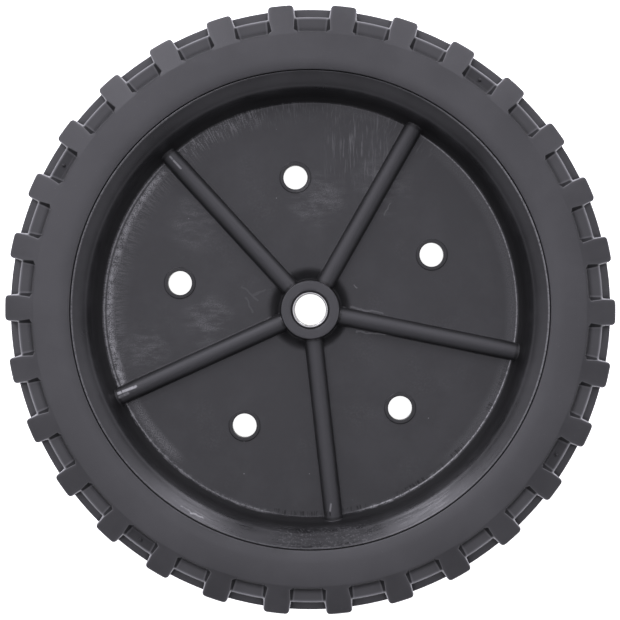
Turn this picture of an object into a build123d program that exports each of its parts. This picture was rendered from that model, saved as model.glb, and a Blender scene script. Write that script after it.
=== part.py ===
# Spare wheel for a garden machine: a lugged rubber tyre on a dished plastic wheel with a steel hub bush.
# The wheel lies flat with its axle line on Z, the open side of the hub up, and its centre at the origin.
import os
from math import cos, radians, sin

from build123d import *

# Tyre, with its radial heights measured in from the tread or out from the rim
tyre_diameter = 250.0
tyre_width = 45.0
tyre_section = 26.8
shoulder_run = 12.0
shoulder_drop = 3.2
shoulder_chamfer = 0.7
bead_run = 5.6
bead_drop = 1.2
bead_gap = 0.25

# Tread
lug_count = 30
lug_width = 9.8
lug_height = 5.2
lug_corner = 1.3
corner_break = 0.12
lug_angle = -0.42
groove_fillet = 0.9
centre_rib_width = 5.0
pocket_depth = 3.4
pocket_run = 4.3
pocket_margin = 1.0
pocket_draft = 24.0

# Rim, with its steps measured in from its edge
rim_width = 42.2
rim_edge = 0.5
flange_thickness = 5.9
seat_step = 3.5
channel_step = 4.0
channel_width = 12.0
channel_slope = 7.0
dish_bend_inset = 7.0
dish_bend_depth = 5.3
dish_bend_round = 8.0
dish_wall_run = 5.0

# Disc, ribs and holes
disc_thickness = 5.0
rib_count = 5
rib_angle = -11.58
rib_width = 7.2
rib_height = 6.0
hole_diameter = 10.0
hole_circle_diameter = 111.0
collar_diameter = 13.0
collar_height = 0.6

# Hub and bush
hub_diameter = 25.4
hub_rise = 7.6
hub_recess = 0.5
hub_edge = 0.8
moat_width = 4.0
moat_depth = 0.8
bore_diameter = 13.0
bush_wall = 0.85
bush_inset = 0.4
bush_chamfer = 0.3
mouth_gap = 0.65
mouth_depth = 1.6

tip_radius = tyre_diameter / 2
side_height = tyre_width / 2
rib_wall = centre_rib_width / 2
lug_pitch = 360 / lug_count
shoulder_radius = tip_radius - shoulder_run
shoulder_height = side_height - shoulder_drop
groove_floor = tip_radius - lug_height
panel_radius = groove_floor - pocket_run
panel_height = side_height - pocket_depth
groove_top = side_height + pocket_depth

rim_radius = tip_radius - tyre_section
rim_height = rim_width / 2
seat_radius = rim_radius - seat_step
channel_radius = seat_radius - channel_step
channel_edge = channel_width / 2
flange_height = rim_height - flange_thickness
bead_radius = rim_radius + bead_gap
bead_height = side_height - bead_drop
disc_top = disc_thickness / 2
bend_height = rim_height - dish_bend_depth
bend_radius = rim_radius - dish_bend_inset
disc_radius = bend_radius - dish_wall_run

hub_radius = hub_diameter / 2
hub_top = disc_top + hub_rise
hub_bottom = -(side_height - hub_recess)
moat_radius = hub_radius + moat_width
moat_floor = disc_top - moat_depth
bush_radius = bore_diameter / 2 + bush_wall
mouth_radius = bush_radius + mouth_gap
rib_top = disc_top + rib_height


def dish_radius(height):
    """Radius of the steep inner wall of the rim at a height above the middle of the wheel."""
    return disc_radius + dish_wall_run * (height - disc_top) / (bend_height - disc_top)


def flank_point(distance, half_width):
    """Point beside a lug, at a distance along its centre line, on the side that faces the groove on X."""
    turn = radians(lug_pitch / 2)
    x = distance * cos(turn) + half_width * sin(turn)
    y = distance * sin(turn) - half_width * cos(turn)
    return x, y


def wedge(start, end, half_width):
    """Corners of the space between two lugs from one distance to another."""
    inner = flank_point(start, half_width)
    outer = flank_point(end, half_width)
    return [inner, outer, (outer[0], -outer[1]), (inner[0], -inner[1])]


# Half-section of the tyre with the lugs as one unbroken ring
with BuildPart() as tyre_blank:
    with BuildSketch(Plane.XZ) as tyre_section_outline:
        with BuildLine():
            Polyline(
                (tip_radius, 0),
                (channel_radius, 0),
                (channel_radius, channel_edge),
                (seat_radius, channel_edge + channel_slope),
                (seat_radius, flange_height),
                (bead_radius, flange_height),
                (bead_radius, bead_height),
            )
            bead = TangentArc((bead_radius + bead_run, side_height), (bead_radius, bead_height), tangent=(-1, 0))
            Polyline(
                bead @ 0,
                (shoulder_radius, side_height),
                (tip_radius, shoulder_height),
                (tip_radius, 0),
            )
        make_face()
        shoulder = tyre_section_outline.vertices().sort_by_distance((tip_radius, shoulder_height))[0]
        chamfer(shoulder, length=shoulder_chamfer)
        mirror(about=Plane.XZ)
    revolve(axis=Axis.Z)

# One groove between two lugs of the upper side, centred on X, with the sunk pocket at its shoulder
half_lug = lug_width / 2
clear_radius = tip_radius + lug_height
corner_base = tip_radius + corner_break
tip = flank_point(corner_base, half_lug)

with BuildPart() as groove:
    with BuildSketch(Plane.XY.offset(rib_wall)) as groove_outline:
        Polygon(*wedge(groove_floor, clear_radius, half_lug - lug_corner), align=None)
        Circle(corner_base, mode=Mode.SUBTRACT)
        Polygon(*wedge(groove_floor / 2, clear_radius, half_lug), align=None)
        Circle(groove_floor, mode=Mode.SUBTRACT)
        fillet(groove_outline.vertices().group_by(Axis.X)[0], radius=groove_fillet)
        for side in (1, -1):
            lug_tip = groove_outline.vertices().sort_by_distance((tip[0], side * tip[1]))[0]
            fillet(lug_tip, radius=lug_corner)
    extrude(amount=groove_top - rib_wall)
    with BuildSketch(Plane.XY.offset(panel_height)):
        Polygon(*wedge(panel_radius / 2, tip_radius, half_lug + pocket_margin), align=None)
        Circle(panel_radius, mode=Mode.SUBTRACT)
    extrude(amount=groove_top - panel_height, taper=-pocket_draft)

with BuildPart() as upper_grooves:
    with PolarLocations(0, lug_count, start_angle=lug_angle + lug_pitch / 2):
        add(groove.part)

# The lower row of lugs stands half a pitch on from the upper row
lower_grooves = Rot(0, 0, lug_pitch / 2) * mirror(upper_grooves.part, about=Plane.XY)

with BuildPart() as tyre:
    add(tyre_blank.part)
    add(upper_grooves.part, mode=Mode.SUBTRACT)
    add(lower_grooves, mode=Mode.SUBTRACT)

# Rim, dish, disc and hub as one moulding, turned from its section with a shallow moat round the hub
rim_corner = (rim_radius, rim_height)
bend_corner = (bend_radius, bend_height)

rib_reach = (dish_radius(rib_top) + channel_radius) / 2

with BuildPart() as wheel_disc:
    with BuildSketch(Plane.XZ) as rim_section:
        with BuildLine():
            Polyline(
                (0, 0),
                (channel_radius, 0),
                (channel_radius, channel_edge),
                (seat_radius, channel_edge + channel_slope),
                (seat_radius, flange_height),
                (rim_radius, flange_height),
                rim_corner,
                bend_corner,
                (disc_radius, disc_top),
                (moat_radius, disc_top),
                (hub_radius, moat_floor),
                (0, moat_floor),
                close=True,
            )
        make_face()
        fillet(rim_section.vertices().sort_by_distance(bend_corner)[0], radius=dish_bend_round)
        chamfer(rim_section.vertices().sort_by_distance(rim_corner)[0], length=rim_edge)
        mirror(about=Plane.XZ)
    revolve(axis=Axis.Z)

    # Half-round ribs on both sides of the disc, run into the dished wall
    for turn in range(rib_count):
        direction = Vector(1, 0, 0).rotate(Axis.Z, rib_angle + turn * 360 / rib_count)
        rib_plane = Plane(origin=(0, 0, 0), x_dir=direction.rotate(Axis.Z, 90), z_dir=direction)
        with BuildSketch(rib_plane):
            SlotOverall(2 * rib_top, rib_width, rotation=90)
        extrude(amount=rib_reach)

    # Hub with its chamfered ends
    with BuildSketch(Plane.XZ) as hub_section:
        with Locations((hub_radius / 2, (hub_top + hub_bottom) / 2)):
            Rectangle(hub_radius, hub_top - hub_bottom)
        chamfer(hub_section.vertices().group_by(Axis.X)[-1], length=hub_edge)
    revolve(axis=Axis.Z)

    # Holes between the ribs with a low collar on each side
    with BuildSketch(Plane.XY.offset(-disc_top - collar_height)):
        with PolarLocations(hole_circle_diameter / 2, rib_count, start_angle=rib_angle + 180 / rib_count):
            Circle(collar_diameter / 2)
    extrude(amount=disc_thickness + 2 * collar_height)
    with PolarLocations(hole_circle_diameter / 2, rib_count, start_angle=rib_angle + 180 / rib_count):
        Hole(hole_diameter / 2)

    # Seat of the bush, opened out into a wider mouth at each end
    with BuildSketch(Plane.XZ):
        with BuildLine():
            Polyline(
                (0, hub_bottom),
                (mouth_radius, hub_bottom),
                (mouth_radius, hub_bottom + mouth_depth),
                (bush_radius, hub_bottom + mouth_depth),
                (bush_radius, hub_top - mouth_depth),
                (mouth_radius, hub_top - mouth_depth),
                (mouth_radius, hub_top),
                (0, hub_top),
                close=True,
            )
        make_face()
    revolve(axis=Axis.Z, mode=Mode.SUBTRACT)

with BuildPart() as hub_bush:
    with BuildSketch(Plane.XY.offset(hub_bottom + bush_inset)):
        Circle(bush_radius)
        Circle(bore_diameter / 2, mode=Mode.SUBTRACT)
    extrude(amount=hub_top - hub_bottom - 2 * bush_inset)
    bore_edges = hub_bush.edges().filter_by(GeomType.CIRCLE).group_by(SortBy.RADIUS)[0]
    chamfer(bore_edges, length=bush_chamfer)

tyre.part.label = "tyre"
wheel_disc.part.label = "wheel_disc"
hub_bush.part.label = "hub_bush"

os.makedirs("parts", exist_ok=True)
export_step(tyre.part, "parts/tyre.step")
export_step(wheel_disc.part, "parts/wheel_disc.step")
export_step(hub_bush.part, "parts/hub_bush.step")
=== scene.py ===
import bpy
import numpy as np
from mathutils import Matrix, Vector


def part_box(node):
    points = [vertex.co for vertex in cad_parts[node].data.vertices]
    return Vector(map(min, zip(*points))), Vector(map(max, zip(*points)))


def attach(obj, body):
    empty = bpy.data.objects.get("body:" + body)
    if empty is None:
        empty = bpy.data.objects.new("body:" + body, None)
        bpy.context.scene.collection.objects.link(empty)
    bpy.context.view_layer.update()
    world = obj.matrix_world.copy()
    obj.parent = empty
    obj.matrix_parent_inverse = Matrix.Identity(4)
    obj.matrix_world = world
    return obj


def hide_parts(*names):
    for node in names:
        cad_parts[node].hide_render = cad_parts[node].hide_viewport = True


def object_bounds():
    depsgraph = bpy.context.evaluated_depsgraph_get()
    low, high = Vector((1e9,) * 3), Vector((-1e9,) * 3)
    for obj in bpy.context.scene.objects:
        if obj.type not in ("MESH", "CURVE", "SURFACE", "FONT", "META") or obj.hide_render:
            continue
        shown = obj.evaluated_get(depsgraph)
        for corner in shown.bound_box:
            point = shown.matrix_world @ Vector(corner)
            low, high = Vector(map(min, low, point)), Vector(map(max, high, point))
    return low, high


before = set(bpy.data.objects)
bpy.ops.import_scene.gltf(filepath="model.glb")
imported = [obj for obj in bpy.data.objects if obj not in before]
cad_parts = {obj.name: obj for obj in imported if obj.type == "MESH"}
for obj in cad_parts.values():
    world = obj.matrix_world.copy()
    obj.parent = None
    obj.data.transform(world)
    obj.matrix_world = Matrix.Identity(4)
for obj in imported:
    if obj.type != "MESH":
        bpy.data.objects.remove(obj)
cadLow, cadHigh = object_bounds()
mm = 0.001  # shapes below are worked out in millimetres
tyreHigh = np.array(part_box("tyre")[1]) / mm
rimHigh = np.array(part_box("wheel_disc")[1]) / mm
bushLow, bushHigh = (np.array(corner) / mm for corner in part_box("hub_bush"))
print("frame loaded:", ", ".join(sorted(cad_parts)))


# grids and meshes

def arc(centre, radius, startDeg, endDeg, count):  # points on a circle in the (radius, height) half plane
    turn = np.radians(np.linspace(startDeg, endDeg, count))
    return np.stack([centre[0] + radius * np.cos(turn), centre[1] + radius * np.sin(turn)], axis=-1)


def line(start, end, count):  # evenly spaced points with both ends
    share = np.linspace(0, 1, count)[:, None]
    return np.asarray(start, float) * (1 - share) + np.asarray(end, float) * share


def roundCorner(before, corner, after, radius, count):  # arc that touches both legs of a corner
    before, corner, after = (np.asarray(p, float) for p in (before, corner, after))
    inward = (before - corner) / np.linalg.norm(before - corner)
    outward = (after - corner) / np.linalg.norm(after - corner)
    half = np.arccos(np.clip(inward @ outward, -1, 1)) / 2
    middle = corner + (inward + outward) / np.linalg.norm(inward + outward) * radius / np.sin(half)
    first = corner + inward * radius / np.tan(half) - middle
    last = corner + outward * radius / np.tan(half) - middle
    startDeg = np.degrees(np.arctan2(first[1], first[0]))
    sweep = (np.degrees(np.arctan2(last[1], last[0])) - startDeg + 180) % 360 - 180
    return arc(middle, radius, startDeg, startDeg + sweep, count)


def quadIndex(ids):  # four corners of each cell of a table of vertex numbers
    return np.stack([ids[:-1, :-1], ids[1:, :-1], ids[1:, 1:], ids[:-1, 1:]], axis=-1).reshape(-1, 4)


def ringIndex(rows, columns):  # vertex numbers of a grid that closes on itself both ways
    ids = np.arange(rows * columns).reshape(rows, columns)
    ids = np.concatenate([ids, ids[:1]])
    return np.concatenate([ids, ids[:, :1]], axis=1)


def polar(radius, turn, height):  # cylinder coordinates to points
    return np.stack([radius * np.cos(turn), radius * np.sin(turn), height + 0 * turn], axis=-1)


def mirrored(half, sign=1):  # columns from the middle outward, continued on the other side of the middle
    return np.concatenate([sign * half[:, :0:-1], half[:, :-1]], axis=1)


def allRound(turn, startDeg, count):  # the turns of one lug or rib repeated once round the wheel
    start = np.radians(startDeg) + 2 * np.pi / count * np.arange(count)
    return (turn[:, None, :] + start[None, :, None]).reshape(len(turn), -1)


def makePiece(name, points, faces, node, marks=None, sharpDeg=50):
    points = np.asarray(points, float).reshape(-1, 3) * mm
    a, b, c, d = (points[faces[:, k]] for k in range(4))
    volume = np.einsum("ij,ij->i", a, np.cross(b, c) + np.cross(c, d)).sum()
    if volume < 0:  # outward faces enclose a positive volume
        faces = faces[:, ::-1]
    mesh = bpy.data.meshes.new(name)
    mesh.from_pydata(points.tolist(), [], faces.tolist())
    mesh.polygons.foreach_set("use_smooth", np.ones(len(faces), bool))
    mesh.set_sharp_from_angle(angle=np.radians(sharpDeg))
    for mark, values in (marks or {}).items():  # painted highlight and painted shade values that the finish reads
        mesh.attributes.new(mark, "FLOAT", "POINT").data.foreach_set("value", values.ravel())
    piece = bpy.data.objects.new(name, mesh)
    bpy.context.scene.collection.objects.link(piece)
    even = piece.modifiers.new("evenNormals", "WEIGHTED_NORMAL")  # flats stay flat beside small rounds
    even.keep_sharp = True
    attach(piece, "root")
    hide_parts(node)
    print(name, "faces:", len(faces))
    return piece


# tyre

tyreForm = {
    "lugCount": 30,
    "lugAngle": -0.42,
    "lugWidth": 9.8,
    "lugHeight": 5.2,
    "lugCorner": 1.3,
    "lugDraft": 0.45,
    "grooveFillet": 1.0,
    "ribHalf": 2.5,
    "ribEdge": 0.5,
    "ribFoot": 1.2,
    "shoulderRun": 12.0,
    "shoulderDrop": 3.2,
    "shoulderRound": 0.9,
    "crownRun": 8.5,
    "crownDrop": 0.35,
    "beadRun": 5.6,
    "beadDrop": 0.8,
    "beadGap": 0.1,
    "beadEdge": 0.3,
    "flangeHeight": 15.2,
    "seatRadius": 94.7,
    "seatHeight": 13.0,
    "channelRadius": 90.7,
    "channelHeight": 6.0,
    "pocketDepth": 3.4,
    "pocketRun": 5.1,
    "pocketMargin": 1.15,
    "pocketRise": 2.6,
    "pocketDraft": 30.0,
    "wallDraft": 20.0,
    "wallRun": 1.4,
    "pocketEdge": 0.3,
    "panelEdge": 0.4,
    "pipAngles": [53.58, 149.58, 233.58, 329.58],
    "pipDistance": 116.9,
    "pipRadius": 0.8,
    "marking": {  # how strongly painted highlights lighten the edges and the groove floor, and painted shade darkens the corners
        "brink": 0.74,
        "band": 0.09,
        "lugLine": 0.2,
        "panelLine": 0.17,
        "lip": 0.9,
        "wall": 0.54,
        "wallEdge": 0.36,
        "bottom": 0.4,
        "bandEnd": 0.4,
        "brinkShade": 0.35,
        "bandCorner": 0.55,
    },
}


def tyreProfiles(form):
    # two half sections with matching rows, one through a groove and one through a lug
    tip, side = tyreHigh[0], tyreHigh[2]
    floor = tip - form["lugHeight"]
    shoulder = tip - form["shoulderRun"]
    panelHeight = side - form["pocketDepth"]
    panelStart = floor - form["pocketRun"]
    lean = np.tan(np.radians(form["wallDraft"]))
    crownStart = shoulder - form["crownRun"]
    steep = (form["shoulderDrop"] - form["crownDrop"]) / form["shoulderRun"]

    def onSlope(radius):  # flat sidewall, a gentle crown, then a straight fall from the shoulder to the tread
        crown = form["crownDrop"] * np.clip((radius - crownStart) / form["crownRun"], 0, 1) ** 2
        return np.stack([radius, side - crown - steep * np.maximum(radius - shoulder, 0)], axis=-1)

    wallTop = onSlope(np.array(panelStart - form["wallRun"]))[1] - panelHeight  # depth at the inner wall
    beadRadius = rimHigh[0] + form["beadGap"]
    beadHeight = side - form["beadDrop"]
    beadArc = (form["beadRun"] ** 2 + form["beadDrop"] ** 2) / (2 * form["beadDrop"])
    beadTurn = np.degrees(np.arcsin(form["beadRun"] / beadArc))
    flatStart = beadRadius + form["beadRun"]
    bead = arc((flatStart, side - beadArc), beadArc, 90 + beadTurn, 90, 10)
    beadEdge = roundCorner((beadRadius, 0), (beadRadius, beadHeight), bead[1], form["beadEdge"], 4)
    common = np.concatenate([
        line((beadRadius, form["flangeHeight"]), beadEdge[0], 3)[:-1],
        beadEdge,
        bead[1:-1],
        onSlope(np.linspace(flatStart, shoulder - 0.5, 9)),
    ])
    corners = [
        tuple(onSlope(np.array(shoulder))),
        (panelStart - wallTop * lean, panelHeight + wallTop),
        (panelStart, panelHeight),
        (floor, panelHeight),
        (floor, form["ribHalf"]),
        (tip, form["ribHalf"]),
        (tip, 0),
    ]
    rounds = [form["pocketEdge"], form["pocketEdge"], form["panelEdge"], form["ribFoot"], form["ribEdge"]]
    steps = [4, 4, 8, 4, 5]  # points on each round
    bends = [roundCorner(*corners[k:k + 3], rounds[k], steps[k]) for k in range(5)]
    beforeBrink = bends[2][0] - [(0.8, 0), (0.3, 0)]  # close rows at the brink keep its line sharp
    panel = np.concatenate([line(bends[1][-1], beforeBrink[0], 4)[1:], beforeBrink[1:]])
    pocket = np.concatenate([line(corners[0], bends[0][0], 3)[:-1], bends[0], bends[1], panel])
    edge = bends[2]
    floorRun = line(edge[-1], bends[3][0], 4)[1:-1]
    ribRun = np.concatenate([bends[3], line(bends[3][-1], bends[4][0], 4)[1:-1], bends[4]])
    lugFace, lugTip = onSlope(np.array([floor, tip]))
    shoulderArc = roundCorner(lugFace, lugTip, (tip, 0), form["shoulderRound"], 4)
    lugEdge = np.concatenate([
        line(onSlope(edge[0, 0]), shoulderArc[0], 3)[:-1],
        shoulderArc,
        line(shoulderArc[-1], (tip, edge[-1, 1]), 3)[1:],
    ])
    gap = np.concatenate([common, pocket, edge, floorRun, ribRun])
    lug = np.concatenate([
        common,
        onSlope(pocket[:, 0]),
        lugEdge,
        np.stack([np.full(len(floorRun), tip), floorRun[:, 1]], axis=-1),
        line((tip, bends[3][0, 1]), (tip, bends[4][-1, 1]), len(ribRun)),
    ])
    inPocket = np.concatenate([
        np.ones(len(common) + len(pocket)),
        np.linspace(1, 0, len(edge)) ** 2,
        np.zeros(len(floorRun) + len(ribRun)),
    ])
    along = np.concatenate([[0], np.cumsum(np.linalg.norm(np.diff(gap, axis=0), axis=1))])
    rows = np.arange(len(gap))
    wallRow = len(common) + 4  # rows where the pocket starts, breaks off, and meets the floor and the rib
    brinkRow = len(common) + len(pocket) + 1
    floorRow = len(common) + len(pocket) + len(edge)
    bottomRow = floorRow + len(floorRun) + 2

    def near(row, reach):  # 1 on a row, falling off with the way along the groove section
        return np.exp(-((along - along[row]) / reach) ** 2)

    # rows for the painted highlights (brink, lip, band) and the painted shade (brinkShade, wallEdge, wall,
    # bottom); pocket rows take both
    marks = {
        "brink": near(brinkRow, 0.37),
        "brinkShade": near(brinkRow - 2, 0.25),
        "wallEdge": near(wallRow, 0.6),
        "wall": near(wallRow + 3, 0.7),
        "bottom": near(bottomRow, 1.1),
        "pocket": np.where((rows >= wallRow) & (rows < brinkRow + 4), 1.0, 0.0),
        "lip": np.where((rows >= brinkRow) & (rows < floorRow), 1.0, 0.0),
        "band": np.where(rows >= bottomRow + 2, 1.0, 0.0),
    }
    sink = np.clip((edge[-1, 1] - gap[:, 1:]) / (edge[-1, 1] - form["ribHalf"]), 0, 1)
    return gap, lug, inPocket, sink, shoulder, marks


def tyreHalf(form):
    # point = groove section + w * (lug section - groove section), w runs 1 to 0 across the flank of a lug
    gap, lug, inPocket, sink, shoulder, marks = tyreProfiles(form)
    half = form["lugWidth"] / 2
    corner, foot, height = form["lugCorner"], form["grooveFillet"], form["lugHeight"]
    tipTurn = np.radians([0, 24, 46, 68, 90])
    footTurn = np.radians([0, 45, 90])
    face = np.array([0, 0.4, 0.75])
    # eleven columns from the middle of a lug outward, given by their distance and by their w
    grooveSide = np.concatenate([
        face * (half - corner),
        half - corner + corner * np.sin(tipTurn),
        half + foot * (1 - np.cos(footTurn)),
    ])
    grooveSide = grooveSide + form["lugDraft"] * sink * np.concatenate([face, np.ones(8)])
    grooveShare = np.concatenate([
        np.ones(3),
        1 - corner / height * (1 - np.cos(tipTurn)),
        foot / height * (1 - np.sin(footTurn)),
    ])
    base = half + form["pocketMargin"]
    rise = (lug - gap)[:, 1:] * (inPocket[:, None] > 0.5)
    top = base - np.clip(rise, 0, form["pocketRise"]) * np.tan(np.radians(form["pocketDraft"]))
    edgeSteps = np.array([-0.35, -0.15, -0.02, 0.06, 0.2])  # over the upper edge of a pocket's side
    footSteps = np.array([0.1, 0.2, 0.3])  # at its foot, and how far they draw back where it is deep
    footBack = np.array([0.25, 0.18, 0])
    pocketSide = np.concatenate([
        face * (top + edgeSteps[0]),
        top + edgeSteps * np.clip(rise, 0.3, 1),
        base + footSteps - footBack * np.clip((rise - 0.3) / 0.5, 0, 1),
    ], axis=1)
    pocketShare = np.array([1, 1, 1, 1, 0.98, 0.93, 0.87, 0.76, 0.14, 0.03, 0])
    blend = inPocket[:, None]
    share = grooveShare * (1 - blend) + pocketShare * blend
    offset = grooveSide * (1 - blend) + pocketSide * blend
    share = np.concatenate([share, np.zeros((len(gap), 3))], axis=1)
    radius = gap[:, :1] * (1 - share) + lug[:, :1] * share
    heightGrid = gap[:, 1:] * (1 - share) + lug[:, 1:] * share
    turn = np.arcsin(offset / np.maximum(radius[:, :offset.shape[1]], shoulder))
    middle = np.pi / form["lugCount"]
    rest = np.array([0.12, 0.5, 1])
    turn = np.concatenate([turn, turn[:, -1:] + (middle - turn[:, -1:]) * rest], axis=1)

    # painted highlight lines on the edges and painted shade in the corners, by row and by column (eleven as
    # above, three across the gap)
    offLug = np.array([0, 0, 0, 0, 0, 0.3, 0.7, 1, 1, 1, 1, 1, 1, 1])
    lugLine = np.array([0, 0, 0, 0.15, 0.8, 1, 0.5, 0, 0, 0, 0, 0, 0, 0])
    panelLine = np.array([0, 0, 0, 0, 0, 0, 0, 0, 0, 0.3, 1, 0, 0, 0])
    sideWall = np.array([0, 0, 0, 0, 0, 0, 0.5, 1, 1, 0.7, 0, 0, 0, 0])
    lipLine = np.array([0, 0, 0, 0, 0.1, 0.5, 1, 1, 0.6, 0.2, 0, 0, 0, 0])
    bandEnd = np.array([0, 0, 0, 0, 0, 0, 0, 0.6, 1, 1, 0.9, 0.6, 0, 0])
    bandCorner = np.array([0, 0, 0, 0, 0, 0, 0, 0.3, 1, 1, 0.7, 0, 0, 0])
    row = {name: values[:, None] for name, values in marks.items()}
    marking = form["marking"]
    light = (marking["brink"] * row["brink"] + marking["band"] * row["band"]) * offLug
    light = light + row["pocket"] * (marking["lugLine"] * lugLine + marking["panelLine"] * panelLine)
    light = light + marking["lip"] * row["lip"] * lipLine
    dark = row["pocket"] * sideWall
    dark = dark + (marking["wall"] * row["wall"] + marking["wallEdge"] * row["wallEdge"]) * offLug
    dark = dark * (1 - row["brink"])
    dark = dark + row["bottom"] * (marking["bottom"] * offLug + marking["bandEnd"] * bandEnd)
    dark = dark + marking["brinkShade"] * row["brinkShade"] * offLug
    dark = dark + marking["bandCorner"] * row["band"] * bandCorner

    turn = mirrored(turn, -1)
    layers = [np.tile(mirrored(grid), form["lugCount"]) for grid in (radius, heightGrid, light, dark)]
    return allRound(turn, form["lugAngle"], form["lugCount"]), layers, turn.shape[1]


def pipBalls(form):
    # small balls half sunk in four of the groove panels, rings of eight closed by three faces at each pole
    rings, sides = 7, 8
    lift = np.radians(np.linspace(-75, 75, rings))[:, None]
    turn = np.radians(np.arange(sides) * 360 / sides)[None]
    ball = form["pipRadius"] * polar(np.cos(lift), turn, np.sin(lift)).reshape(-1, 3)
    ids = np.arange(rings * sides).reshape(rings, sides)
    caps = np.array([[0, 1, 2, 3], [0, 3, 4, 7], [4, 5, 6, 7]])
    around = quadIndex(np.concatenate([ids, ids[:, :1]], axis=1))
    faces = np.concatenate([around[:, ::-1], caps[:, ::-1], ids[-1][caps]])
    angles = np.radians(form["pipAngles"])
    centres = polar(form["pipDistance"], angles, tyreHigh[2] - form["pocketDepth"])
    points = (centres[:, None] + ball).reshape(-1, 3)
    return points, np.concatenate([faces + len(ball) * k for k in range(len(angles))])


def seatPoints(form):  # section that the tyre and the rim share
    seat, channel = form["seatRadius"], form["channelRadius"]
    return [(seat, form["flangeHeight"]), (seat, form["seatHeight"]), (channel, form["channelHeight"])]


def buildTyre(form):
    # upper half, lower half turned by half a pitch, and the seat inside, as one closed grid
    turn, (radius, height, light, dark), pitchColumns = tyreHalf(form)
    upper = polar(radius, turn, height)
    lower = polar(radius, turn + np.pi / form["lugCount"], -height)
    lower = np.roll(lower, pitchColumns // 2, axis=1)[::-1]
    seat = seatPoints(form)
    seatTurns = [np.arctan2(edge[:, 1], edge[:, 0]) for edge in (upper[0], lower[-1])]
    seatUpper = [polar(r, seatTurns[0], h) for r, h in seat]
    seatLower = [polar(r, seatTurns[1], -h) for r, h in seat]
    points = np.concatenate([upper, lower, seatLower, seatUpper[::-1]])
    rows, columns = points.shape[:2]

    def bothHalves(values):
        below = np.roll(values, pitchColumns // 2, axis=1)[::-1]
        return np.concatenate([values, below, np.zeros((2 * len(seat), columns))])

    balls, ballFaces = pipBalls(form)
    # painted highlights on the edges and painted shade in the corners, handed to the finish as point values
    marks = {"paintedEdgeHighlight": bothHalves(light), "paintedCreviceShade": bothHalves(dark)}
    marks = {name: np.append(values, np.zeros(len(balls))) for name, values in marks.items()}
    faces = np.concatenate([quadIndex(ringIndex(rows, columns)), ballFaces + rows * columns])
    points = np.concatenate([points.reshape(-1, 3), balls])
    return makePiece("tyreTread", points, faces, "tyre", marks)


tyreTread = buildTyre(tyreForm)


# wheel disc

discForm = {
    "ribCount": 5,
    "ribAngle": -11.58,
    "ribHalf": 3.6,
    "ribHeight": 6.0,
    "ribLean": 0.15,
    "ribFoot": 0.4,
    "discTop": 2.5,
    "footRadius": 86.3,
    "footRound": 0.3,
    "bendRadius": 90.75,
    "bendHeight": 15.63,
    "bendRound": 8.0,
    "slopeBulge": 0.2,
    "rimHeight": 21.7,
    "rimEdge": 0.5,
    "hubRadius": 12.1,
    "hubTop": 10.1,
    "hubBottom": 22.0,
    "hubEdge": 0.4,
    "hubLean": 0.75,
    "hubFoot": 0.08,
    "moatWidth": 5.0,
    "moatDepth": 1.5,
    "moatRound": 8.0,
    "mouthGap": 0.65,
    "mouthDepth": 3.0,
    "mouthEdge": 0.12,
    "holeRadius": 5.0,
    "holeCircle": 55.5,
    "holeEdge": 0.3,
    "collarRadius": 6.5,
    "collarHeight": 0.6,
    "collarFoot": 0.15,
    "collarEdge": 0.2,
    "blend": 0.9,
}
flatColumns = 18  # columns between a rib and the middle of its sector
holeColumns = 6  # columns each side of a hole that its patch takes up
holeRows = np.linspace(46.0, 65.0, 12)
seatRows = 6  # last rows of a section, where it meets the tyre


def discSection(form, hubEnd):
    # section of one face from the bush seat to the edge of the rim
    hub, top = form["hubRadius"], form["discTop"]
    seat = bushHigh[0]
    mouth = (seat + form["mouthGap"], hubEnd)
    mouthFloor = (mouth[0], hubEnd - form["mouthDepth"])
    hubCorner = (hub, hubEnd)
    hubBase = (hub + form["hubLean"], top - form["moatDepth"])
    moatEdge = (hub + form["moatWidth"], top)
    foot = (form["footRadius"], top)
    bend = (form["bendRadius"], form["bendHeight"])
    rim = (rimHigh[0], form["rimHeight"])
    rimFoot = (rimHigh[0], tyreForm["flangeHeight"])
    mouthArc = roundCorner(mouthFloor, mouth, hubCorner, form["mouthEdge"], 3)
    hubArc = roundCorner(mouth, hubCorner, hubBase, form["hubEdge"], 6)
    baseArc = roundCorner(hubCorner, hubBase, moatEdge, form["hubFoot"], 4)
    moatArc = roundCorner(hubBase, moatEdge, foot, form["moatRound"], 6)
    footArc = roundCorner(hubBase, foot, bend, form["footRound"], 5)
    bendArc = roundCorner(foot, bend, rim, form["bendRound"], 12)
    rimArc = roundCorner(bend, rim, rimFoot, form["rimEdge"], 7)
    inner = line(moatArc[-1], (holeRows[0], top), 11)[1:-1]
    holes = np.stack([holeRows, np.full(len(holeRows), top)], axis=-1)
    outer = line((holeRows[-1], top), footArc[0], 11)[1:-1]
    slope = line(bendArc[-1], rimArc[0], 9)
    rise = (slope[-1] - slope[0]) / np.linalg.norm(slope[-1] - slope[0])
    share = np.linspace(0, 1, len(slope))[:, None]
    slope = slope + 4 * share * (1 - share) * form["slopeBulge"] * np.array([-rise[1], rise[0]])
    return np.concatenate([
        line((seat, 0), (seat, mouthFloor[1]), 3)[1:],
        [mouthFloor],
        mouthArc,
        line(mouthArc[-1], hubArc[0], 4)[1:-1],
        hubArc,
        line(hubArc[-1], baseArc[0], 10)[1:-1],
        baseArc,
        line(baseArc[-1], moatArc[0], 4)[1:-1],
        moatArc,
        inner,
        holes,
        outer,
        footArc,
        line(footArc[-1], bendArc[0], 20)[1:-1],
        bendArc,
        slope[1:-1],
        rimArc,
        [rimFoot] + seatPoints(tyreForm),
    ])


def ribSection(form):
    # half round on short sides: distance from the rib's middle line and height above the disc
    half, straight = form["ribHalf"], form["ribHeight"] - form["ribHalf"]
    crown = arc((0, straight), half, 90, 0, 8)
    base = (half + form["ribLean"], 0)
    foot = roundCorner(crown[-1], base, (2 * half, 0), form["ribFoot"], 5)
    side = line(crown[-1], foot[0], 4)[1:-1]
    return np.concatenate([crown, side, foot])


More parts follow.
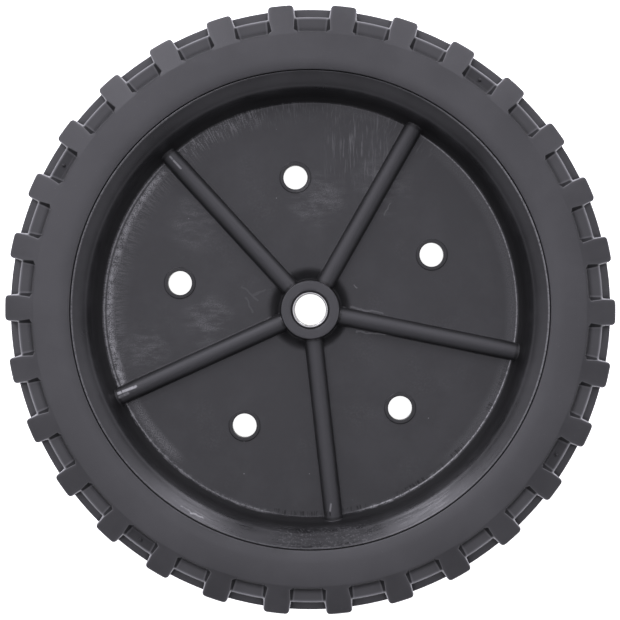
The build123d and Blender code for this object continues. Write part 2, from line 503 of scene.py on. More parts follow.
def discFace(form, hubEnd):
    # height = smooth maximum of the turned section and the ribs, columns follow the sides of the ribs
    section = discSection(form, hubEnd)
    rib = ribSection(form)
    radius, base = section[:, :1], section[:, 1:]
    ribTurn = np.arcsin(rib[:, 0] / np.maximum(radius, form["hubRadius"]))
    middle = np.pi / form["ribCount"]
    rest = np.linspace(0, 1, flatColumns + 1)[1:]
    turn = np.concatenate([ribTurn, ribTurn[:, -1:] + (middle - ribTurn[:, -1:]) * rest], axis=1)
    lift = np.concatenate([rib[:, 1], np.zeros(flatColumns)])
    lift[len(rib) - 1:] = 0
    between = (radius > form["hubRadius"] - form["hubEdge"] / 2) & (base < form["bendHeight"])
    between[-seatRows:] = False
    crest = form["discTop"] + lift
    soft = np.minimum(form["blend"], 0.5 * lift) + 1e-9
    near = np.maximum(soft - np.abs(base - crest), 0)
    height = np.where(between & (lift > 0), np.maximum(base, crest) + near ** 2 / (4 * soft), base)

    turn = mirrored(turn, -1)
    allTurns = allRound(turn, form["ribAngle"], form["ribCount"])
    return polar(radius, allTurns, np.tile(mirrored(height), form["ribCount"])), turn.shape[1], section


def holeCentres(form):  # midway between the ribs
    turn = np.radians(form["ribAngle"] + (np.arange(form["ribCount"]) - 0.5) * 360 / form["ribCount"])
    return form["holeCircle"] * np.stack([np.cos(turn), np.sin(turn)], axis=-1)


def holePatch(form, points, ids, upperRows, lowerRows, columns, centre):
    # rings from the square gap in the upper face over the collars and through the hole to the lower face
    def border(rows):  # once round the edge of the gap
        first, last = rows[0], rows[-1]
        return np.concatenate([
            ids[first, columns[:-1]],
            ids[rows[:-1], columns[-1]],
            ids[last, columns[:0:-1]],
            ids[rows[:0:-1], columns[0]],
        ])

    upper, lower = border(upperRows), border(lowerRows)
    away = points[upper, :2] - centre
    direction = away / np.linalg.norm(away, axis=1, keepdims=True)
    collar, top = form["collarRadius"], form["discTop"]
    crown = top + form["collarHeight"]
    hole = form["holeRadius"]
    around = [(collar + 0.9, top), (collar + 0.28, top)]  # flat rings outside the collar
    half = np.concatenate([
        around,
        roundCorner(around[0], (collar, top), (collar, crown), form["collarFoot"], 3),
        roundCorner((collar, top), (collar, crown), (hole, crown), form["collarEdge"], 4),
        roundCorner((collar, crown), (hole, crown), (hole, 0), form["holeEdge"], 5),
        [(hole, 0.8)],
    ])
    rings = np.concatenate([half, half[::-1] * (1, -1)])
    flat = centre + direction[None] * rings[:, :1, None]
    new = np.concatenate([flat, np.broadcast_to(rings[:, 1:, None], flat.shape[:2] + (1,))], axis=2)
    table = np.arange(new.shape[0] * new.shape[1]).reshape(new.shape[:2]) + len(points)
    table = np.concatenate([upper[None], table, lower[None]])
    return new.reshape(-1, 3), np.concatenate([table, table[:, :1]], axis=1)


def buildDisc(form):
    upper, sectorColumns, section = discFace(form, form["hubTop"])
    lower, _, _ = discFace(form, form["hubBottom"])
    lower = lower[::-1] * (1, 1, -1)
    points = np.concatenate([upper, lower])
    rows, columns = points.shape[:2]
    ids = np.arange(rows * columns).reshape(rows, columns)
    firstHole = np.flatnonzero(np.isclose(section[:, 0], holeRows[0]))[0]
    upperRows = firstHole + np.arange(len(holeRows))
    lowerRows = rows - 1 - upperRows
    points = points.reshape(-1, 3)
    keep = np.ones((rows, columns), bool)
    patches = []
    for k, centre in enumerate(holeCentres(form)):
        span = (np.arange(-holeColumns, holeColumns + 1) + k * sectorColumns) % columns
        new, table = holePatch(form, points, ids, upperRows, lowerRows, span, centre)
        points = np.concatenate([points, new])
        patches.append(quadIndex(table))
        keep[np.ix_(upperRows[:-1], span[:-1])] = False
        keep[np.ix_(lowerRows[1:], span[:-1])] = False
    faces = quadIndex(ringIndex(rows, columns))[keep.ravel()]
    return makePiece("discMoulding", points, np.concatenate([faces] + patches), "wheel_disc")


discMoulding = buildDisc(discForm)


# bush

bushForm = {
    "boreRadius": 6.5,
    "innerEdge": 0.35,
    "outerEdge": 0.12,
    "columns": 128,
}


def buildBush(form):
    # closed section of the tube turned once round the axle line
    low, high = bushLow[2], bushHigh[2]
    bore, outside = form["boreRadius"], bushHigh[0]
    upper = [
        roundCorner((bore, 0), (bore, high), (outside, high), form["innerEdge"], 6),
        roundCorner((bore, high), (outside, high), (outside, 0), form["outerEdge"], 4),
    ]
    lower = [
        roundCorner((outside, 0), (outside, low), (bore, low), form["outerEdge"], 4),
        roundCorner((outside, low), (bore, low), (bore, 0), form["innerEdge"], 6),
    ]
    wall = line((bore, low + 1), (bore, high - 1), 8)
    section = np.concatenate([wall] + upper + lower)
    turn = np.linspace(0, 2 * np.pi, form["columns"], endpoint=False)[None]
    points = polar(section[:, :1], turn, section[:, 1:])
    return makePiece("bushTube", points, quadIndex(ringIndex(*points.shape[:2])), "hub_bush")


bushTube = buildBush(bushForm)


# finishes

def newMaterial(name):
    material = bpy.data.materials.new(name)
    material.use_nodes = True
    return material, material.node_tree, material.node_tree.nodes["Principled BSDF"]


def addNode(tree, kind, inputs=None, **settings):  # node with its options set and its inputs filled or linked
    node = tree.nodes.new(kind)
    for key, value in settings.items():
        setattr(node, key, value)
    for key, value in (inputs or {}).items():
        if isinstance(value, bpy.types.NodeSocket):
            tree.links.new(value, node.inputs[key])
        else:
            node.inputs[key].default_value = value
    return node


def calc(tree, operation, *values, clamp=False):
    inputs = dict(enumerate(values))
    return addNode(tree, "ShaderNodeMath", inputs, operation=operation, use_clamp=clamp).outputs[0]


def vectorCalc(tree, operation, *values, output="Vector"):
    inputs = dict(enumerate(values))
    return addNode(tree, "ShaderNodeVectorMath", inputs, operation=operation).outputs[output]


def ease(tree, value, low, high):  # smooth step from 0 at low to 1 at high
    inputs = {0: value, 1: low, 2: high}
    return addNode(tree, "ShaderNodeMapRange", inputs, interpolation_type="SMOOTHSTEP").outputs[0]


def fade(tree, value, low, high):  # the same step turned round
    return calc(tree, "SUBTRACT", 1.0, ease(tree, value, low, high))


def chain(tree, operation, values):
    total = values[0]
    for value in values[1:]:
        total = calc(tree, operation, total, value)
    return total


def product(tree, *values):
    return chain(tree, "MULTIPLY", values)


def largest(tree, *values):
    return chain(tree, "MAXIMUM", values)


def mixed(tree, first, second, share):  # two values with a share of the second
    return calc(tree, "ADD", calc(tree, "MULTIPLY", first, 1 - share), calc(tree, "MULTIPLY", second, share))


def stretch(tree, vector, factors):
    return vectorCalc(tree, "MULTIPLY", vector, factors)


def grain(tree, vector, scale, detail=2.0, roughness=0.5):
    inputs = {"Vector": vector, "Scale": scale, "Detail": detail, "Roughness": roughness}
    return addNode(tree, "ShaderNodeTexNoise", inputs).outputs[0]


def spread(tree, noise, low, high):  # a noise spread over a range of values
    inputs = {0: noise, 1: 0.3, 2: 0.7, 3: low, 4: high}
    return addNode(tree, "ShaderNodeMapRange", inputs).outputs[0]


def mixColour(tree, share, first, second):
    mix = addNode(tree, "ShaderNodeMix", {"Factor": share}, data_type="RGBA")
    sockets = [i for i in mix.inputs if i.type == "RGBA"]
    for socket, value in zip(sockets, (first, second)):
        if isinstance(value, bpy.types.NodeSocket):
            tree.links.new(value, socket)
        else:
            socket.default_value = value
    return [o for o in mix.outputs if o.type == "RGBA"][0]


def wheelPlaces(tree):  # where a point lies on the wheel, in mm
    point = addNode(tree, "ShaderNodeTexCoord").outputs["Object"]
    point = stretch(tree, point, (1 / mm, 1 / mm, 1 / mm))
    parts = addNode(tree, "ShaderNodeSeparateXYZ", {0: point}).outputs
    flat = addNode(tree, "ShaderNodeCombineXYZ", {0: parts[0], 1: parts[1]}).outputs[0]
    noise = {"Vector": flat, "Scale": 0.25, "Detail": 3.0}
    waver = addNode(tree, "ShaderNodeTexNoise", noise).outputs["Color"]
    waver = stretch(tree, vectorCalc(tree, "SUBTRACT", waver, (0.5, 0.5, 0.5)), (2.5, 2.5, 0))
    return {
        "point": point,
        "flat": flat,
        "bent": vectorCalc(tree, "ADD", flat, waver),  # pushed about a little, for uneven lines
        "z": parts[2],
        "radius": vectorCalc(tree, "LENGTH", flat, output="Value"),
        "turn": calc(tree, "ARCTAN2", parts[1], parts[0]),
        "way": vectorCalc(tree, "NORMALIZE", flat),
    }


def nearTurn(tree, place, middleDeg, halfDeg, softDeg):  # 1 within an angle either side of a direction
    away = calc(tree, "SUBTRACT", place["turn"], float(np.radians(middleDeg)))
    away = calc(tree, "ABSOLUTE", calc(tree, "WRAP", away, float(np.pi), float(-np.pi)))
    return fade(tree, away, float(np.radians(halfDeg - softDeg)), float(np.radians(halfDeg + softDeg)))


def inRing(tree, place, low, high, soft):  # 1 between two distances from the axle line
    return product(
        tree,
        ease(tree, place["radius"], low - soft, low + soft),
        fade(tree, place["radius"], high - soft, high + soft),
    )


def inHeight(tree, place, start, full, fading, gone):  # 1 between two heights, with a soft start and end
    return product(tree, ease(tree, place["z"], start, full), fade(tree, place["z"], fading, gone))


def nearSpot(tree, place, x, y, reach):  # 1 at a point of the face, 0 past its reach
    away = vectorCalc(tree, "DISTANCE", place["flat"], (x, y, 0.0), output="Value")
    return fade(tree, away, 0.3 * reach, reach)


def nearLine(tree, place, start, end, width, course="bent"):  # 1 along a scratch, 0 past half its width
    way = np.subtract(end, start)
    step = (float(way[0]), float(way[1]), 0.0)
    gap = vectorCalc(tree, "SUBTRACT", place[course], (*start, 0.0))
    along = vectorCalc(tree, "DOT_PRODUCT", gap, step, output="Value")
    share = calc(tree, "DIVIDE", along, float(way @ way), clamp=True)
    scaled = {0: step, "Scale": share}
    reach = addNode(tree, "ShaderNodeVectorMath", scaled, operation="SCALE").outputs[0]
    off = vectorCalc(tree, "DISTANCE", gap, reach, output="Value")
    return fade(tree, off, 0.2 * width, 0.5 * width + 0.15)


def spokeGrain(tree, place, across, along, detail=2.0):  # noise drawn out along the radius, without a seam
    ring = stretch(tree, place["way"], (across, across, 0))
    depth = calc(tree, "MULTIPLY", place["radius"], along)
    depth = addNode(tree, "ShaderNodeCombineXYZ", {2: depth}).outputs[0]
    return grain(tree, vectorCalc(tree, "ADD", ring, depth), 1.0, detail)


def relief(tree, shader, height, strength, distance):
    inputs = {"Height": height, "Strength": strength, "Distance": distance * mm}
    bump = addNode(tree, "ShaderNodeBump", inputs)
    tree.links.new(bump.outputs[0], shader.inputs["Normal"])


rubberLook = {
    "colour": (0.028, 0.0278, 0.0285, 1),
    "pale": (0.037, 0.0367, 0.0376, 1),
    # edge: pale dust and the painted edge highlights; dark: the painted corner shade and the stain round the
    # pips
    "edge": (0.3, 0.3, 0.305, 1),
    "dark": (0.004, 0.004, 0.0045, 1),
    "dust": 0.05,
    "stain": 0.55,
    "stainTurn": (3.3, 0.3),
    "stainRing": (115.2, 119.2, 0.4),
    "stainHeight": (17.0, 18.0),
    "turnedRing": (99, 111, 1.5),
    "gloss": (0.4, 0.48),
}


def rubberFinish(look):
    material, tree, shader = newMaterial("tyreRubber")
    place = wheelPlaces(tree)
    mottle = grain(tree, place["point"], 0.035, 4.0, 0.6)
    fine = grain(tree, place["point"], 1.6, 3.0, 0.6)
    colour = mixColour(tree, ease(tree, mottle, 0.35, 0.68), look["colour"], look["pale"])
    dust = ease(tree, grain(tree, place["point"], 0.9, 1.0), 0.72, 0.8)
    colour = mixColour(tree, product(tree, dust, look["dust"]), colour, look["edge"])
    # painted edge highlights and painted corner shade, read from the tyre's points
    paintedEdgeHighlight = addNode(tree, "ShaderNodeAttribute", attribute_name="paintedEdgeHighlight").outputs["Fac"]
    paintedCreviceShade = addNode(tree, "ShaderNodeAttribute", attribute_name="paintedCreviceShade").outputs["Fac"]
    paintedHighlightShare = calc(tree, "MULTIPLY", paintedEdgeHighlight, calc(tree, "ADD", 0.5, calc(tree, "MULTIPLY", mottle, 0.8)))
    stained = product(  # dark pockets round the pips
        tree,
        largest(tree, *[nearTurn(tree, place, deg, *look["stainTurn"]) for deg in tyreForm["pipAngles"]]),
        inRing(tree, place, *look["stainRing"]),
        ease(tree, place["z"], *look["stainHeight"]),
        look["stain"],
    )
    # painted shade in the corners, joined with the stain round the pips
    shadeAndStain = largest(tree, calc(tree, "MULTIPLY", paintedCreviceShade, 0.95, clamp=True), stained)
    colour = mixColour(tree, shadeAndStain, colour, look["dark"])
    # painted highlight along the edges
    colour = mixColour(tree, calc(tree, "MULTIPLY", paintedHighlightShare, 0.9, clamp=True), colour, look["edge"])
    tree.links.new(colour, shader.inputs["Base Color"])
    gloss = spread(tree, mottle, *look["gloss"])
    gloss = calc(tree, "ADD", gloss, calc(tree, "MULTIPLY", shadeAndStain, 0.45), clamp=True)
    tree.links.new(gloss, shader.inputs["Roughness"])
    turned = calc(tree, "SINE", calc(tree, "MULTIPLY", place["radius"], 7.0))
    turned = product(tree, turned, inRing(tree, place, *look["turnedRing"]), 0.12)  # on the sidewall
    relief(tree, shader, calc(tree, "ADD", fine, turned), 0.18, 0.08)
    return material


plasticLook = {
    "colour": (0.008, 0.008, 0.0083, 1),
    "cloudy": (0.017, 0.017, 0.0175, 1),
    "paler": (0.026, 0.026, 0.027, 1),
    "paleScuffAndHighlight": (0.34, 0.34, 0.34, 1),
    "black": (0.002, 0.002, 0.002, 1),
    "gloss": (0.4, 0.48),
    "marking": {  # middle, half width and soft edge of an angle in degrees, then the amount
        "rub": (169.5, 33.5, 2.0, 0.95),
        "rubHaze": (160.0, 36.0, 10.0, 0.3),
        "flecks": (117.0, 13.0, 3.0, 0.5),
        "lowerRub": (216.0, 12.0, 4.0, 0.28),
        "topStreaks": (84.0, 32.0, 6.0, 0.22),
        "sectorStreaks": (73.0, 11.0, 4.0, 0.22),
        "burrs": (252.0, 66.0, 8.0, 0.36),
        "burrTicks": (300.0, 42.0, 8.0, 0.8),
        # groove: painted shadow of the seam at the edge of the disc
        "groove": (171.5, 33.0, 2.0, 0.75),
        "faintOutline": (243.0, 26.0, 6.0, 0.25),
        "brightOutline": (318.0, 36.0, 10.0, 0.3),
        # crest entries: strength of the painted highlight along the rim crest, right and left
        "crestRight": (15.0, 40.0, 20.0, 0.3),
        "crestLeft": (165.0, 45.0, 20.0, 0.16),
        "slopePatch": (273.0, 12.0, 4.0, 0.12),
        "brushed": (285.0, 48.0, 12.0, 0.5),
    },
    "rings": {  # inner and outer distance from the axle line, and the soft edge of both
        "hubSide": (12.0, 13.2, 0.15),
        "ribs": (13, 87, 0.5),
        "ribFeet": (14, 86, 0.5),
        "ribGloss": (13, 88, 0.5),
        "rub": (82.6, 85.1, 2.0),
        "lowerRub": (80.8, 84.4, 1.6),
        "burrTicks": (83.9, 85.7, 0.5),
        "groove": (84.95, 85.4, 0.12),
        "outline": (85.7, 86.2, 0.12),
        "wall": (86.6, 91, 0.4),
        "slope": (89.5, 97.5, 0.6),
        "brushed": (89.0, 97.5, 0.6),
        "crest": (97.2, 97.9, 0.15),
    },
    "clean": {  # parts of the disc edge with few marks, as angles without an amount
        "top": (92.0, 36.0, 8.0),
        "lowestRib": (272.0, 14.0, 5.0),
    },
    "dulled": [(4, 50), (122, 10), (75, 9)],  # middle and half width of dull stretches of the disc edge
    "scratches": [  # start, end, width and strength of single lines on the upper face
        ((-28.5, 9.5), (-22.0, 4.0), 0.9, 0.055),
        ((-24.0, 6.0), (-19.0, 8.5), 0.9, 0.055),
        ((-26.5, 4.5), (-24.0, -1.0), 0.9, 0.055),
        ((14.0, 1.6), (30.0, -1.6), 0.9, 0.16),
        ((19.5, -9.0), (33.0, -10.8), 0.8, 0.3),
        ((31.0, 39.5), (33.5, 44.5), 0.4, 0.16),
        ((18.3, 10.3), (19.3, 9.3), 0.5, 0.25),
    ],
    "smears": [  # place and reach
        (-47.9, 36.6, 15.0),
        (-42.4, -4.4, 14.0),
        (-68.8, -16.9, 14.0),
        (3.0, 46.0, 16.0),
        (30.0, 52.0, 16.0),
    ],
    "ribStreaks": [
        ((-79.5, -34.6), (-72.3, -31.8), 1.3, 0.95),
        ((-79.0, -36.2), (-75.5, -34.6), 1.2, 0.3),
        ((-58.0, 63.4), (-53.6, 58.6), 0.9, 0.5),
        ((8.2, -83.5), (8.6, -80.5), 0.8, 0.35),
    ],
    "scrape": ((-52.6, -80.2), (-43.4, -85.6), 0.6, 0.35),  # on the slope of the rim
    "gouge": ((-48.8, -82.8), (-44.0, -85.0), 0.8, 0.7),
}


def markedPart(tree, place, look, name):  # amount of a mark within the angle where it lies; the marks are real wear, the painted highlight on the rim crest and the painted shadow in the disc-edge groove
    middleDeg, halfDeg, softDeg, amount = look["marking"][name]
    return product(tree, nearTurn(tree, place, middleDeg, halfDeg, softDeg), amount)


def ringPart(tree, place, look, name):  # 1 within a ring of the look
    return inRing(tree, place, *look["rings"][name])


def scratch(tree, place, mark, course="bent"):  # one line of the given start, end, width and strength
    start, end, width, amount = mark
    return product(tree, nearLine(tree, place, start, end, width, course), amount)


def scuffs(tree, place, look):
    # rubbed places and scratches of the upper face, each a region times a streaky noise
    face = inHeight(tree, place, 2.2, 2.4, 3.4, 4.2)
    spokes = spokeGrain(tree, place, 150.0, 0.22, 3.0)
    rough = grain(tree, place["point"], 1.1, 3.0, 0.65)
    lengthways = grain(tree, stretch(tree, place["point"], (1.5, 0.11, 1)), 1.0, 3.0, 0.6)
    sideways = grain(tree, stretch(tree, place["point"], (0.1, 0.28, 1)), 1.0, 4.0, 0.65)
    cloud = grain(tree, place["point"], 0.06, 2.0)
    speckle = grain(tree, place["point"], 2.0, 3.0, 0.75)
    patchy = grain(tree, place["point"], 0.4, 3.0, 0.6)
    hairy = mixed(tree, speckle, spokes, 0.5)
    grainy = mixed(tree, speckle, patchy, 0.4)
    cells = addNode(tree, "ShaderNodeTexVoronoi", {"Vector": place["point"], "Scale": 0.22}).outputs
    chosen = addNode(tree, "ShaderNodeSeparateColor", {0: cells["Color"]}).outputs[0]
    specks = fade(tree, cells["Distance"], 0.035, 0.075)
    dulled = largest(tree, *[nearTurn(tree, place, *turn, 7.0) for turn in look["dulled"]])
    smears = largest(tree, *[nearSpot(tree, place, *spot) for spot in look["smears"]])
    smooth = fade(tree, nearTurn(tree, place, *look["clean"]["lowestRib"]), 0.0, 1.3)

    def part(name, *factors):
        return product(tree, markedPart(tree, place, look, name), *factors)

    def outward(start, end):  # grows from one distance from the axle line to another
        return ease(tree, place["radius"], start, end)

    marks = [
        part("rub", ringPart(tree, place, look, "rub"), ease(tree, grainy, 0.4, 0.58)),
        part("rubHaze", outward(74.0, 86.0), ease(tree, hairy, 0.42, 0.62)),
        part("flecks", outward(77.0, 85.0), ease(tree, hairy, 0.47, 0.6)),
        part("lowerRub", ringPart(tree, place, look, "lowerRub"), ease(tree, speckle, 0.38, 0.62)),
        part("topStreaks", outward(75.0, 86.0), ease(tree, spokes, 0.5, 0.72)),
        part("sectorStreaks", outward(48.0, 68.0), ease(tree, lengthways, 0.5, 0.74)),
        part("burrs", outward(84.4, 86.0), smooth, ease(tree, mixed(tree, speckle, patchy, 0.5), 0.47, 0.62)),
        product(tree, dulled, outward(80.5, 84.0), ease(tree, speckle, 0.3, 0.66), 0.12),
        product(tree, smears, ease(tree, sideways, 0.38, 0.72), ease(tree, speckle, 0.3, 0.7), 0.24),
        product(tree, ease(tree, cloud, 0.5, 0.7), ease(tree, rough, 0.4, 0.75), 0.04),  # faint haze
        product(tree, specks, ease(tree, chosen, 0.8, 0.82), 0.4),
    ]
    lines = [scratch(tree, place, mark) for mark in look["scratches"]]
    return product(tree, face, largest(tree, *marks, *lines)), rough


def ribScuffsAndHighlights(tree, place, look, rough):
    # pale streaks along the ends of the ribs, part scuff and part painted highlight
    lines = [scratch(tree, place, mark, "flat") for mark in look["ribStreaks"]]
    onTop = ease(tree, place["z"], 5.0, 6.0)
    return product(tree, largest(tree, *lines), onTop, ease(tree, rough, 0.25, 0.5))


def rimScuffs(tree, place, look, rough):
    # one pale scrape and a dull patch on the slope of the rim
    slope = product(tree, ringPart(tree, place, look, "slope"), ease(tree, place["z"], 11.0, 13.5))
    scrape = product(tree, scratch(tree, place, look["scrape"]), ease(tree, rough, 0.3, 0.5))
    patch = product(tree, markedPart(tree, place, look, "slopePatch"), ease(tree, rough, 0.5, 0.68))
    return product(tree, slope, largest(tree, scrape, scratch(tree, place, look["gouge"]), patch))


def raisedTone(tree, place, look, mottle):
    # hub face and crowns of the ribs, a little paler than the disc
    onHub = product(tree, fade(tree, place["radius"], 11.7, 12.2), ease(tree, place["z"], 9.7, 10.0))
    onRib = product(tree, inHeight(tree, place, 6.5, 8.4, 8.6, 9.2), ringPart(tree, place, look, "ribs"))
    return calc(tree, "MULTIPLY", largest(tree, onHub, onRib), calc(tree, "ADD", 0.5, mottle), clamp=True)


def paintedShadePlaces(tree, place, look):
    # painted shade at the hub foot, the mouth of the bush seat, the side of the hub, the rib feet and the
    # dished wall
    hubFoot = product(tree, fade(tree, place["radius"], 12.5, 19.0), fade(tree, place["z"], 3.0, 8.5))
    mouth = product(tree, fade(tree, place["radius"], 7.95, 8.15), fade(tree, place["z"], 9.7, 10.0))
    hubSide = product(tree, ringPart(tree, place, look, "hubSide"), ease(tree, place["z"], 2.0, 4.0), 0.9)
    ribFoot = product(tree, inHeight(tree, place, 2.7, 3.2, 4.6, 8.3), ringPart(tree, place, look, "ribFeet"))
    wall = product(tree, inHeight(tree, place, 2.6, 3.4, 10, 16), ringPart(tree, place, look, "wall"), 0.9)
    return largest(tree, hubFoot, mouth, hubSide, ribFoot, wall)


def holeCollarShade(tree, place, form):
    # painted shade: a dark ring round each hole over its raised collar, standing in for the collar's shaded
    # side
    spots = [nearSpot(tree, place, x, y, 7.2) for x, y in holeCentres(form).tolist()]
    return product(tree, ease(tree, largest(tree, *spots), 0.02, 0.12), 0.65)


def crestLine(tree, place, look, rough):
    # painted highlight: a light line along the crest of the rim, faint at the top
    crest = product(
        tree,
        ringPart(tree, place, look, "crest"),
        ease(tree, place["z"], 20.0, 20.6),
        fade(tree, nearTurn(tree, place, 85.0, 30.0, 25.0), 0.0, 1.3),
        ease(tree, rough, 0.2, 0.6),
    )
    sides = [markedPart(tree, place, look, name) for name in ("crestRight", "crestLeft")]
    return product(tree, crest, calc(tree, "ADD", calc(tree, "ADD", *sides), 0.12))


def edgeOutline(tree, place, look, rough):
    # light line along the edge of the flat disc, nearly gone at the top and at the lowest rib
    ring = product(tree, ringPart(tree, place, look, "outline"), fade(tree, place["z"], 2.7, 3.0))
    clean = largest(tree, *[nearTurn(tree, place, *turn) for turn in look["clean"].values()])
    strength = calc(tree, "SUBTRACT", 0.5, markedPart(tree, place, look, "faintOutline"))
    strength = calc(tree, "ADD", strength, markedPart(tree, place, look, "brightOutline"))
    return product(tree, ring, ease(tree, rough, 0.3, 0.6), strength, fade(tree, clean, 0.0, 1.2))


def burrTicks(tree, place, look):
    # short dark hairs across the edge of the disc, in clusters
    return product(
        tree,
        markedPart(tree, place, look, "burrTicks"),
        ringPart(tree, place, look, "burrTicks"),
        ease(tree, spokeGrain(tree, place, 190.0, 0.15), 0.5, 0.6),
        ease(tree, grain(tree, place["point"], 0.12, 2.0), 0.42, 0.5),
    )


def plasticGloss(tree, place, look, mottle, marred):
    # duller on the ribs and on worn places, smoother on the slope of the rim and brushed at its lower part
    onRibs = product(tree, ringPart(tree, place, look, "ribGloss"), ease(tree, place["z"], 3.2, 4.0), 0.13)
    onSlope = product(tree, ease(tree, place["radius"], 89.0, 91.0), ease(tree, place["z"], 12.0, 14.0), 0.14)
    unrolled = addNode(tree, "ShaderNodeCombineXYZ", {0: place["turn"], 1: place["radius"]}).outputs[0]
    rings = grain(tree, stretch(tree, unrolled, (9.0, 1.4, 1.0)), 1.0, 3.0, 0.6)
    brushed = product(
        tree,
        ringPart(tree, place, look, "brushed"),
        markedPart(tree, place, look, "brushed"),
        calc(tree, "SUBTRACT", rings, 0.45),
    )
    gloss = calc(tree, "ADD", spread(tree, mottle, *look["gloss"]), onRibs)
    gloss = calc(tree, "ADD", calc(tree, "SUBTRACT", gloss, onSlope), brushed)
    return calc(tree, "ADD", gloss, calc(tree, "MULTIPLY", marred, 0.4), clamp=True)


def plasticFinish(look):
    material, tree, shader = newMaterial("discPlastic")
    place = wheelPlaces(tree)
    paler, rough = scuffs(tree, place, look)
    paler = largest(tree, paler, rimScuffs(tree, place, look, rough), ribScuffsAndHighlights(tree, place, look, rough))
    ticks = burrTicks(tree, place, look)
    mottle = grain(tree, place["point"], 0.045, 5.0, 0.65)
    # painted shadow of the seam at the edge of the disc, on the left side
    groove = product(tree, ringPart(tree, place, look, "groove"), markedPart(tree, place, look, "groove"))
    layers = [  # painted one over the other
        (raisedTone(tree, place, look, mottle), "paler"),
        # painted shade at the hub, bush mouth, rib feet and wall
        (paintedShadePlaces(tree, place, look), "black"),
        # painted highlight along the rim crest
        (crestLine(tree, place, look, rough), "paleScuffAndHighlight"),
        # painted shade round the holes
        (holeCollarShade(tree, place, discForm), "black"),
        (paler, "paleScuffAndHighlight"),
        (groove, "black"),
        (edgeOutline(tree, place, look, rough), "paleScuffAndHighlight"),
        (ticks, "black"),
    ]
    colour = mixColour(tree, ease(tree, mottle, 0.38, 0.66), look["colour"], look["cloudy"])
    for share, paint in layers:
        colour = mixColour(tree, share, colour, look[paint])
    tree.links.new(colour, shader.inputs["Base Color"])
    gloss = plasticGloss(tree, place, look, mottle, largest(tree, paler, ticks))
    tree.links.new(gloss, shader.inputs["Roughness"])
    proud = calc(tree, "ADD", calc(tree, "MULTIPLY", paler, 1.5), calc(tree, "MULTIPLY", ticks, 14.0))
    relief(tree, shader, calc(tree, "ADD", rough, proud), 0.12, 0.06)
    return material


steelLook = {
    "colour": (0.44, 0.44, 0.42, 1),
    "bright": (0.6, 0.6, 0.57, 1),
    "line": (0.06, 0.06, 0.06, 1),
    "gloss": (0.25, 0.4),
}


def steelFinish(look):
    material, tree, shader = newMaterial("bushSteel")
    place = wheelPlaces(tree)
    drawn = grain(tree, stretch(tree, place["point"], (6.0, 6.0, 0.25)), 1.0, 3.0)
    colour = mixColour(tree, ease(tree, drawn, 0.35, 0.7), look["colour"], look["bright"])
    innerLine = inRing(tree, place, 6.78, 6.92, 0.06)
    # painted shade of the gap round the bush, darkening its outer edge
    gapShade = ease(tree, place["radius"], 7.08, 7.2)
    for share in (innerLine, gapShade):
        colour = mixColour(tree, product(tree, share, 0.9), colour, look["line"])
    tree.links.new(colour, shader.inputs["Base Color"])
    shader.inputs["Metallic"].default_value = 1.0
    tree.links.new(spread(tree, drawn, *look["gloss"]), shader.inputs["Roughness"])
    relief(tree, shader, drawn, 0.1, 0.03)
    return material


tyreTread.data.materials.append(rubberFinish(rubberLook))
discMoulding.data.materials.append(plasticFinish(plasticLook))
bushTube.data.materials.append(steelFinish(steelLook))
print("finishes made")


# studio

studio = {
    "floorSize": 6.0,
    "floorColour": (0.93, 0.93, 0.93, 1),
    "floorGlow": 1.0,
    "lightColour": (0.975, 0.955, 1.07),
    "worldLevel": 0.16,
    "cameraPlace": (0.006, 0.005, 0.94),
    "cameraAim": 0.0205,
    "lens": 130.65,
    "lamps": {  # turn and lift in degrees, distance, width and height in metres, watts
        "stripLeft": (121, 32.5, 2.4, (0.62, 2.7), 41.4),
        "stripRight": (60, 29.5, 2.4, (0.56, 2.45), 28.0),
        "overhead": (170, 84, 1.9, (1.0, 2.0), 11.1),
        "backFill": (90, 16, 1.5, (0.6, 0.5), 1.1),
        "leftBackFill": (154, 25, 1.5, (1.2, 0.9), 4.4),
        "leftFrontFill": (202, 25, 1.5, (1.2, 0.9), 2.5),
        "rightBackFill": (27, 25, 1.5, (1.2, 0.9), 4.2),
        "rightFrontFill": (-22, 25, 1.5, (1.2, 0.9), 2.6),
        "frontFill": (270, 20, 1.5, (2.2, 0.9), 4.0),
    },
}


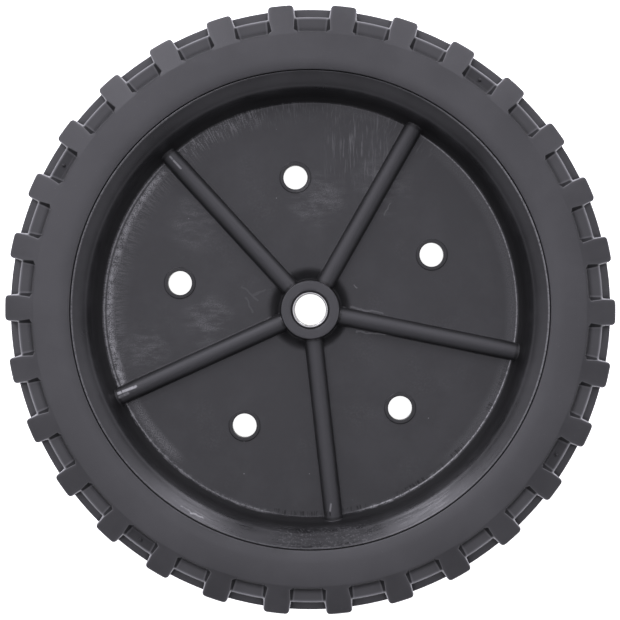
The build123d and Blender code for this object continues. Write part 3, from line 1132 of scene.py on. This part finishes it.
def buildFloor(settings):
    reach = settings["floorSize"] / 2
    low = float(cadLow.z)
    corners = [(-reach, -reach, low), (reach, -reach, low), (reach, reach, low), (-reach, reach, low)]
    mesh = bpy.data.meshes.new("floor")
    mesh.from_pydata(corners, [], [(0, 1, 2, 3)])
    floor = bpy.data.objects.new("floor", mesh)
    bpy.context.scene.collection.objects.link(floor)
    material, tree, shader = newMaterial("paleFloor")
    shader.inputs["Base Color"].default_value = settings["floorColour"]
    shader.inputs["Roughness"].default_value = 0.9
    shader.inputs["Emission Color"].default_value = (1, 1, 1, 1)
    shader.inputs["Emission Strength"].default_value = settings["floorGlow"]
    mesh.materials.append(material)


def softBox(name, colour, turnDeg, liftDeg, distance, size, power):  # turned to face the origin
    turn, lift = np.radians(turnDeg), np.radians(liftDeg)
    light = bpy.data.lights.new(name, "AREA")
    light.shape = "RECTANGLE"
    light.size, light.size_y = size
    light.energy = power
    light.color = colour
    lamp = bpy.data.objects.new(name, light)
    lamp.location = (
        distance * np.cos(lift) * np.cos(turn),
        distance * np.cos(lift) * np.sin(turn),
        distance * np.sin(lift),
    )
    lamp.rotation_mode = "QUATERNION"
    lamp.rotation_quaternion = lamp.location.to_track_quat("Z", "Y")
    bpy.context.scene.collection.objects.link(lamp)


def buildStudio(settings):
    buildFloor(settings)
    for name, lamp in settings["lamps"].items():
        softBox(name, settings["lightColour"], *lamp)
    world = bpy.data.worlds.new("studioWorld")
    world.use_nodes = True
    background = world.node_tree.nodes["Background"]
    background.inputs["Color"].default_value = (*settings["lightColour"], 1)
    background.inputs["Strength"].default_value = settings["worldLevel"]
    bpy.context.scene.world = world
    bpy.context.scene.view_settings.view_transform = "Standard"
    camera = bpy.data.cameras.new("camera")
    camera.lens = settings["lens"]
    camera.sensor_width = 36.0
    viewer = bpy.data.objects.new("camera", camera)
    right, up, height = settings["cameraPlace"]
    drop = height - settings["cameraAim"]
    viewer.location = (right, up, height)
    viewer.rotation_euler = (-np.arctan2(up, drop), np.arctan2(right, drop), 0)  # looks back at the axle line
    bpy.context.scene.collection.objects.link(viewer)
    bpy.context.scene.camera = viewer


buildStudio(studio)
print("studio set")
